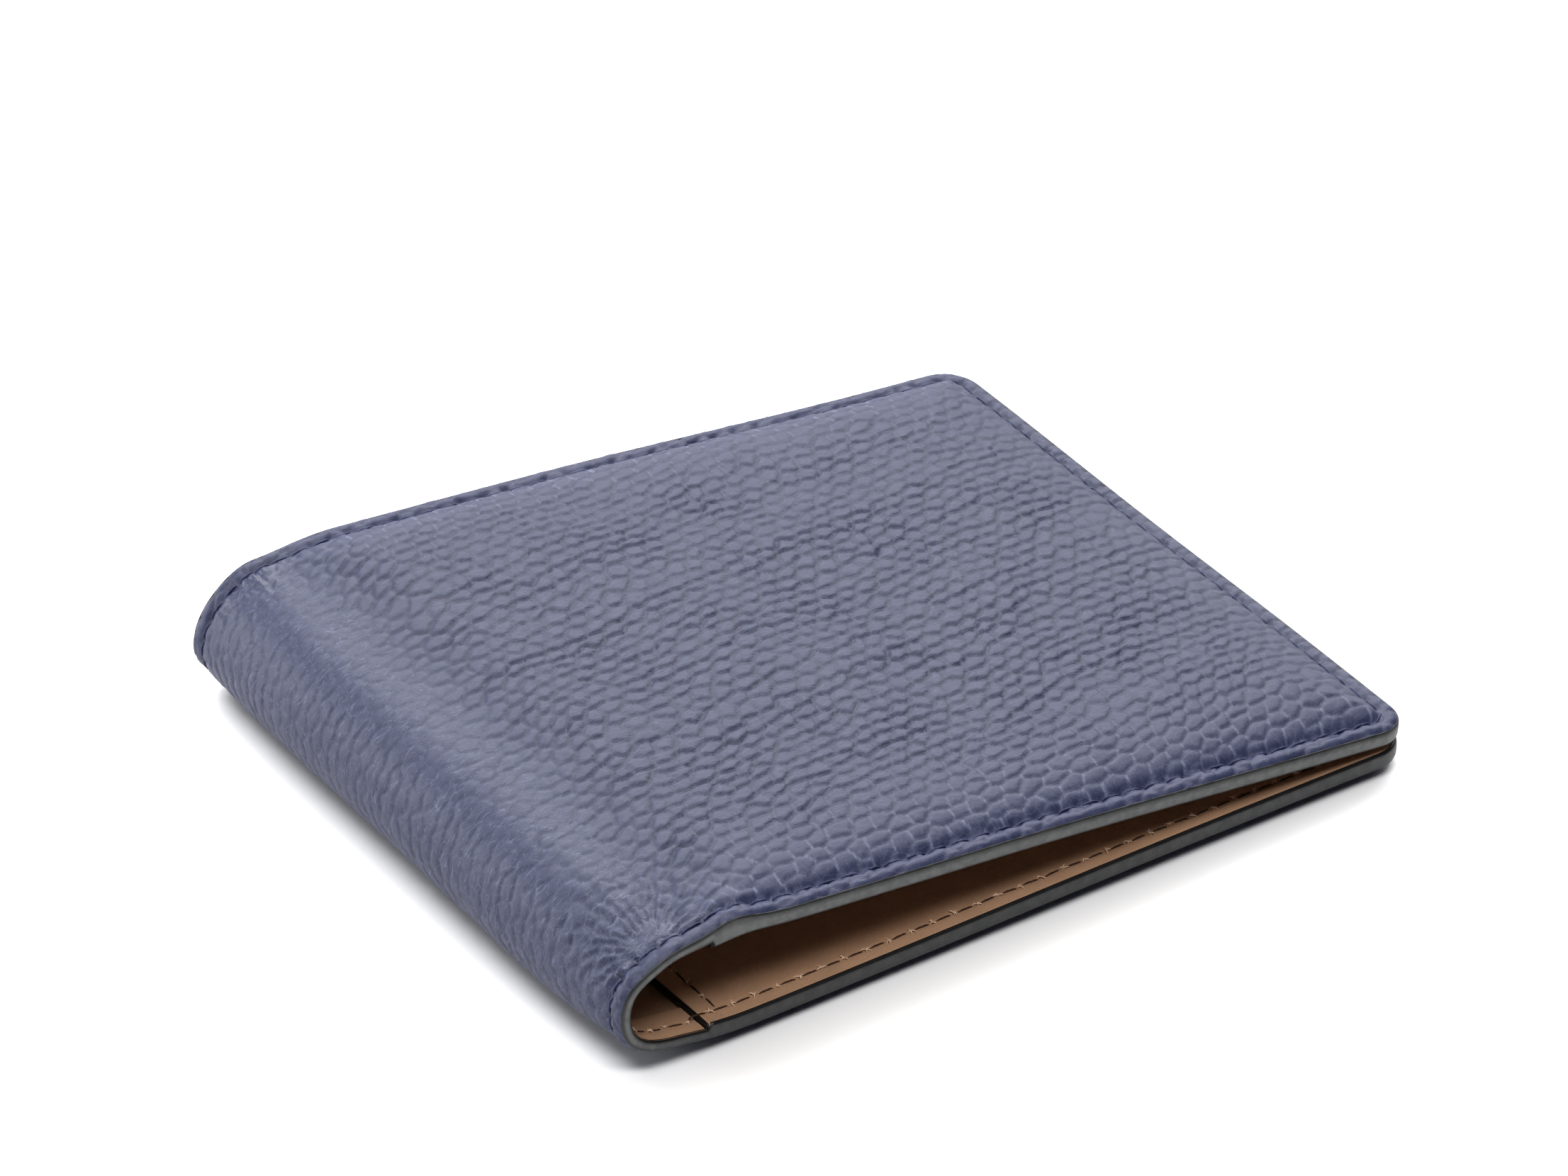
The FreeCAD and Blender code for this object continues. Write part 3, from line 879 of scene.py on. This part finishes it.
def build_border_thread(outer, inner, tuft):
    s, v, direction = border_stitches()
    level = np.full(len(s), 0.16)
    points, faces = stitches(s, v, direction, level, -1, 1, OUTER_STITCH)
    names = names_for("border_stitching", "spine_stitching")
    build_loose(names, points, faces, outer, "outer_thread")
    names = names_for("inside_border_stitching", "spine_inside_stitching", cad_spine=False)
    build_inside_thread(names, s, v, direction, 2, inner)
    names = names_for("seam_knots", "spine_seam_knots", False, False)
    build_knots(names, border_holes(), 3, tuft)


def build_side_seams(inner, tuft):
    for half, side in HALVES.items():
        s, v = side_seam(side)
        names = {NUMBER_OF[half]: name_for(f"{half}_pocket_side_stitching", True)}
        build_inside_thread(names, s, v, np.full(len(v), math.pi / 2), 4, inner)
        names = {NUMBER_OF[half]: name_for(f"{half}_side_seam_knots", False)}
        build_knots(names, side_seam_holes(side), 5, tuft)


def build_knots(names, holes, seed, material):
    """Small pale tufts at each hole, where the thread comes through the inside leather."""
    low, high = (0, 0.4, 0.08), (2 * math.pi, 0.85, 0.28)
    draws = np.random.default_rng(seed).uniform(low, high, (len(holes), TUFTS, 3))
    angle, length, lift = draws.reshape(-1, 3).T[..., None, None]
    level = inner_levels(*holes.T, np.zeros(len(holes)))
    s, v, level = np.repeat([*holes.T, level], TUFTS, axis=1)[..., None, None]
    along = np.linspace(0, 1, 4)[:, None]
    turn = np.linspace(0, 2 * math.pi, 6, endpoint=False)
    radius = 0.12 * (1 - 0.75 * along)
    ring_s, ring_v = turned(s, v, angle, along * length, radius * np.cos(turn))
    depth = level + lift * np.sin(math.pi * along) + radius * np.sin(turn)
    points, faces = tube(stacked(ring_s, ring_v, depth))
    build_loose(names, points, faces, material, "pocket_leather")


# ---- inner panels

def graded(low, high, marks):
    """Lines from low to high, closer together at both ends and around each mark."""
    start, end = low + EDGE_LINES[-1] + PANEL_CELL, high - EDGE_LINES[-1] - PANEL_CELL / 2
    lines = [low + x for x in EDGE_LINES] + [high - x for x in EDGE_LINES]
    lines += [mark + x for mark in marks for x in MARK_LINES if low < mark + x < high]
    lines += list(np.arange(start, end, PANEL_CELL))
    lines = np.unique(np.round(lines, 4))
    return lines[np.concatenate([[True], np.diff(lines) > 0.02])]


def panel_corners(u, v, top, corner):
    """Rounds a layer's corners at the open edge: at the border, and at its top if it has one."""
    s, v = round_corners(BEND + u, v)
    u = s - BEND
    du, dv = corner_shift(u - (RUN - EDGE_BACK - corner), v - (top - corner))
    return u + du, v + dv


def panel_layer(named, half, span, depth, material, tooled=None, corner=0):
    """A leather layer of the inner panel: span is its (lowest, highest) v, and depth is the
    (deep, near) depth of its faces. Its free edges are rounded, it is drawn in at the seams, and
    tooled is the v of a creased line beside its mouth."""
    side = HALVES[half]
    u0, u1 = PANEL_START, RUN - EDGE_BACK
    v0, v1 = span
    low, high = depth
    marks_v = [SEAM_INSET - HALF_HEIGHT] + ([] if tooled is None else [tooled])
    u = graded(u0, u1, [SIDE_SEAM_U, RUN - SEAM_INSET])
    grid_u, grid_v = grid_of(u, graded(v0, v1, marks_v))
    inset = np.minimum(np.minimum(grid_u - u0, u1 - grid_u), np.minimum(grid_v - v0, v1 - grid_v))
    thick = high - low
    soft = min(0.35, 0.7 * thick)   # how far in its free edges are rounded
    rounding = soft * (1 - np.sqrt(1 - np.clip(1 - inset / (1.2 * soft), 0, 1) ** 2))
    real_u, real_v = panel_corners(grid_u, grid_v, v1, corner)
    seams = np.minimum.reduce([
        np.abs(HALF_HEIGHT - SEAM_INSET + grid_v), np.abs(RUN - SEAM_INSET - grid_u),
        np.where(grid_v < SIDE_SEAM_TOP, np.abs(grid_u - SIDE_SEAM_U), 9.0)])
    real_s = s_of(real_u, side)
    holes = np.concatenate([border_holes(), side_seam_holes(side)])
    hole = nearest(holes, real_s, real_v, 1.2)
    dip = 0.07 * np.exp(-(seams / 0.45) ** 2) + 0.1 * np.exp(-(hole / 0.35) ** 2)
    crease = 0 if tooled is None else 0.07 * np.exp(-((grid_v - tooled) / 0.13) ** 2)
    swell = 0.03 * np.sin(0.21 * grid_u + 0.13 * grid_v + side) * smooth(seams, 0, 4)
    top = high - rounding + (swell - dip) * min(1, thick / 0.4) - crease
    build_half_layer(named, half, real_s, real_v, low, np.maximum(top, low + 0.03), material)


def build_panels(lining, leather, paint):
    foot = EDGE_BACK - HALF_HEIGHT
    for half in HALVES:
        panel_layer(name_for(f"{half}_bill_divider", True), half, (foot, PANEL_TOP),
                    (DIVIDER_BASE, PANEL_BASE), lining, corner=PANEL_CORNER)
        for number in range(1, POCKET_COUNT + 1):
            build_pocket(half, number, foot, leather)
        build_panel_paint(half, paint)


def build_pocket(half, number, foot, leather):
    """A card pocket: the leather band that shows, and the thin cloth behind the other bands."""
    base, top = pocket_base(number), mouth(number)
    start, cloth_top = foot, top
    if number > 1:
        start = cloth_top = mouth(number - 1)
        foot = top - POCKET_DEPTH
    name = f"{half}_card_pocket_{number}"
    panel_layer(name_for(name, True), half, (start, top), (base, base + POCKET_BAND), leather,
                tooled=top - TOOLED_INSET)
    panel_layer(name_for(name + "_cloth", False), half, (foot, cloth_top),
                (base - 0.02, base + POCKET_BODY - 0.03), leather)


PANEL_PAINT_PROFILE = [     # distance from the panels' edge, share of their level, depth added
    (0.22, 1, -0.08), (0.1, 1, 0.02), (-0.04, 1, -0.06), (-0.12, 1, -0.2),
    (-0.12, 0, DIVIDER_BASE + 0.05), (0.05, 0, DIVIDER_BASE - 0.02), (0.2, 0, DIVIDER_BASE + 0.1)]


def build_panel_paint(half, material):
    """Paint on the panels' edge beside the spine."""
    v = np.arange(-HALF_HEIGHT - 0.04, PANEL_TOP - 0.2, 0.3)
    level = np.array([inner_level(PANEL_START + 0.1, y) for y in v])
    rings = []
    for across, share, depth in PANEL_PAINT_PROFILE:
        s = s_of(PANEL_START + across, HALVES[half])
        rings.append(stacked(s, v, share * level + depth))
    rings = np.stack(rings, axis=1)
    for end in (0, -1):
        rings[end] = rings[end].mean(axis=0) + 0.25 * (rings[end] - rings[end].mean(axis=0))
    points, faces = tube(rings)
    build_loose({NUMBER_OF[half]: name_for(f"{half}_panel_edge_paint", True)}, points, faces,
                material, "edge_paint", dark=np.ones(len(points)))


# ---- materials

class Shader(Tree):
    """The node tree of a new material."""

    def __init__(self, name):
        self.material = bpy.data.materials.new(name)
        self.material.use_nodes = True
        super().__init__(self.material.node_tree)
        self.inputs = self.tree.nodes["Principled BSDF"].inputs

    def finish(self, base, roughness, height):
        """The material, with its colour, roughness and bump; height is in millimetres."""
        bump = self.node("ShaderNodeBump", {"Height": height, "Strength": 1, "Distance": MM})
        self.put(self.inputs["Base Color"], base)
        self.put(self.inputs["Roughness"], roughness)
        self.put(self.inputs["Normal"], bump.outputs["Normal"])
        return self.material


def colour(red, green, blue):
    """A colour given as it shows on screen, from 0 to 255."""
    def linear(value):
        value /= 255
        return value / 12.92 if value <= 0.04045 else ((value + 0.055) / 1.055) ** 2.4
    return linear(red), linear(green), linear(blue), 1.0


def hair_lines(tree, flat, across):
    """Fine broken lines, 1 on a line and 0 between: along s, or along v where across is 1."""
    warp = tree.vectors("SUBTRACT", tree.noise(flat, 0.45, 1, output="Color"), (0.5, 0.5, 0))
    warped = tree.moved(flat, tree.scaled(warp, (1.5, 1.5, 0)))
    lines = []
    for stretch in ((0.36, 2.1, 0), (2.1, 0.36, 0)):
        fibre = tree.noise(tree.scaled(warped, stretch), 1, 1, 0.5)
        lines.append(tree.step(tree.numbers("ABSOLUTE", tree.minus(fibre, 0.5)), 0, 0.028, 1, 0))
    along, over = lines
    return tree.plus(tree.times(over, across), tree.times(along, tree.minus(1, across)))


def crease_net(tree, flat, size, waver, width):
    """A net of fine creases, 1 on a crease and 0 between, that a noise of scale waver bends."""
    warped = tree.moved(tree.scaled(flat, size), tree.noise(flat, waver, 1, output="Color"))
    return tree.step(tree.cells(warped, "DISTANCE_TO_EDGE"), 0, width, 1, 0)


def outer_leather():
    tree = Shader("outer_leather")
    flat = tree.place()
    stretched, crease, across, glint = (
        tree.attribute(name) for name in ("stretched", "crease", "across", "glint"))
    relaxed = tree.numbers("MAXIMUM", 0, tree.minus(1, stretched))
    tone, mottle = tree.noise(flat, 0.5, 3), tree.noise(flat, 2.2, 2)
    hairs = tree.times(hair_lines(tree, flat, across), tree.minus(1, tree.times(across, 0.6)))
    # tight: painted highlight, hair lines lightened where the leather is stretched.
    tight = tree.times(hairs, tree.step(stretched, 0.3, 0.9))
    # slack: painted shade in a net of fine creases where the leather is relaxed.
    slack = tree.times(crease_net(tree, flat, (0.6, 1.7, 0), 0.8, 0.13), relaxed)
    # light: painted highlight on a net of fine creases where the leather is stretched.
    light = tree.times(crease_net(tree, flat, (0.55, 0.8, 0), 0.6, 0.06), stretched)
    base = tree.tones(tone, 0.3, 0.7, (51, 57, 82), (60, 65, 89))
    base = tree.mix(tree.step(mottle, 0.35, 0.75, 0, 0.4), base, colour(76, 73, 92))
    # Painted light in the leather's colour: crease and slack darken creases as painted shade,
    # across darkens the slopes beside the near and far borders as painted shade, and light, tight
    # and glint lighten fine lines and creases as painted highlights.
    for mask, share, tint in ((tree.times(crease, relaxed), 0.6, (20, 25, 52)),
                              (across, 0.4, (42, 47, 82)), (light, 0.2, (112, 116, 142)),
                              (tight, 0.3, (124, 128, 150)), (glint, 0.42, (146, 150, 172)),
                              (slack, 0.07, (24, 28, 56))):
        base = tree.mix(tree.times(mask, share), base, colour(*tint))
    rough = tree.plus(0.41, tree.times(mottle, 0.16))
    rough = tree.minus(rough, tree.step(stretched, 0.9, 1.4, 0, 0.2))
    rough = tree.minus(rough, tree.times(glint, 0.1))
    height = tree.times(tree.noise(flat, 7, 2, 0.6), 0.035)
    height = tree.plus(height, tree.times(slack, -0.014))
    height = tree.plus(height, tree.times(tight, 0.016))
    return tree.finish(base, rough, height)


def tan_leather(name, low, high):
    tree = Shader(name)
    flat = tree.place()
    tone, fleck = tree.noise(flat, 0.25, 4, 0.6), tree.noise(flat, 4, 2)
    base = tree.tones(tone, 0.3, 0.7, low, high)
    base = tree.mix(tree.step(fleck, 0.5, 0.8, 0, 0.3), base, colour(*(x * 0.72 for x in low)))
    pore = tree.cells(tree.scaled(flat, (2.6, 2.9, 0)), "DISTANCE_TO_EDGE", 1)
    height = tree.plus(tree.step(pore, 0, 0.16, -0.012, 0),
                       tree.times(tree.noise(flat, 5, 2), 0.015))
    return tree.finish(base, tree.plus(0.42, tree.times(fleck, 0.15)), height)


def edge_paint():
    tree = Shader("edge_paint")
    flat = tree.place()
    tone = tree.noise(flat, 0.8, 3)
    base = tree.tones(tone, 0.3, 0.7, (88, 89, 90), (106, 107, 107))
    # The dark attribute turns the paint near-black: painted shade on the border's edge paint, and
    # the own dark paint of the gusset and panel edges.
    base = tree.mix(tree.attribute("dark"), base, colour(17, 16, 17))
    streak = tree.noise(tree.scaled(flat, (0.8, 0.8, 6)), 1, 3)
    return tree.finish(base, tree.plus(0.36, tree.times(tone, 0.2)), tree.times(streak, 0.07))


def thread(name, low, high):
    tree = Shader(name)
    flat = tree.place()
    fibre = tree.noise(tree.scaled(flat, (5, 5, 9)), 1, 3)
    return tree.finish(tree.tones(fibre, 0.35, 0.65, low, high),
                       tree.plus(0.5, tree.times(fibre, 0.25)), tree.times(fibre, 0.05))


def foam():
    tree = Shader("foam")
    flat = tree.place()
    cell = tree.cells(tree.scaled(flat, (2, 2, 0)), "F1", 1)
    base = tree.tones(cell, 0.1, 0.6, (190, 188, 180), (214, 212, 204))
    return tree.finish(base, tree.plus(0.8, tree.times(cell, 0.1)), tree.times(cell, -0.1))


def floor_material():
    tree = Shader("floor")
    tone = tree.noise(tree.node("ShaderNodeTexCoord").outputs["Object"], 3, 2)
    base = tree.mix(tone, (0.86, 0.86, 0.86, 1), (0.88, 0.88, 0.88, 1))
    tree.put(tree.inputs["Base Color"], base)
    tree.put(tree.inputs["Roughness"], 0.7)
    tree.put(tree.inputs["Specular IOR Level"], 0.2)
    return tree.material


# ---- studio

def aim(name, data, azimuth, elevation, distance, target=Vector()):
    """A camera or lamp that looks at its target, from an azimuth and an elevation in degrees."""
    azimuth, elevation = math.radians(azimuth), math.radians(elevation)
    back = Vector((math.sin(azimuth) * math.cos(elevation),
                   -math.cos(azimuth) * math.cos(elevation), math.sin(elevation)))
    made = add_object(name, data)
    made.location = target + back * distance
    made.rotation_mode = "QUATERNION"
    made.rotation_quaternion = (-back).to_track_quat("-Z", "Y")
    return made


def build_camera():
    data = bpy.data.cameras.new("camera")
    data.lens, data.sensor_width = CAMERA_LENS, 36.0
    data.clip_start, data.clip_end = 0.01, 20
    bpy.context.scene.camera = aim("camera", data, CAMERA_AZIMUTH, CAMERA_ELEVATION,
                                   CAMERA_DISTANCE, CAMERA_TARGET)


def build_lamps():
    for name, (azimuth, elevation, distance, width, height, power) in LAMPS.items():
        data = bpy.data.lights.new(name, "AREA")
        data.shape, data.size, data.size_y, data.energy = "RECTANGLE", width, height, power
        aim(name, data, azimuth, elevation, distance)


def build_studio():
    corners = [FLOOR_REACH * Vector(at) for at in ((-1, -1, 0), (1, -1, 0), (1, 1, 0), (-1, 1, 0))]
    floor = make_mesh("floor", corners, [(0, 1, 2, 3)], floor_material())
    world = bpy.data.worlds.new("studio")
    world.use_nodes = True
    light = world.node_tree.nodes["Background"].inputs
    light["Color"].default_value = (1, 1, 1, 1)
    light["Strength"].default_value = 0.04
    bpy.context.scene.world = world
    settings = bpy.context.scene.view_settings
    settings.view_transform = "Standard"
    settings.look = "None"
    settings.gamma = 0.8


def main():
    lining = tan_leather("lining_leather", (158, 131, 109), (165, 137, 114))
    pocket = tan_leather("pocket_leather", (170, 141, 117), (177, 147, 122))
    paint = edge_paint()
    navy = thread("outer_thread", (32, 36, 66), (66, 70, 104))
    brown = thread("inner_thread", (46, 28, 18), (82, 52, 34))
    tuft = thread("tuft", (200, 172, 148), (232, 208, 186))
    build_outer_leather(outer_leather())
    build_padding(foam())
    build_lining(lining)
    build_gusset(pocket, paint)
    build_panels(lining, pocket, paint)
    build_edge_paint(paint)
    build_border_thread(navy, brown, tuft)
    build_side_seams(brown, tuft)
    build_camera()
    build_studio()
    build_lamps()


main()
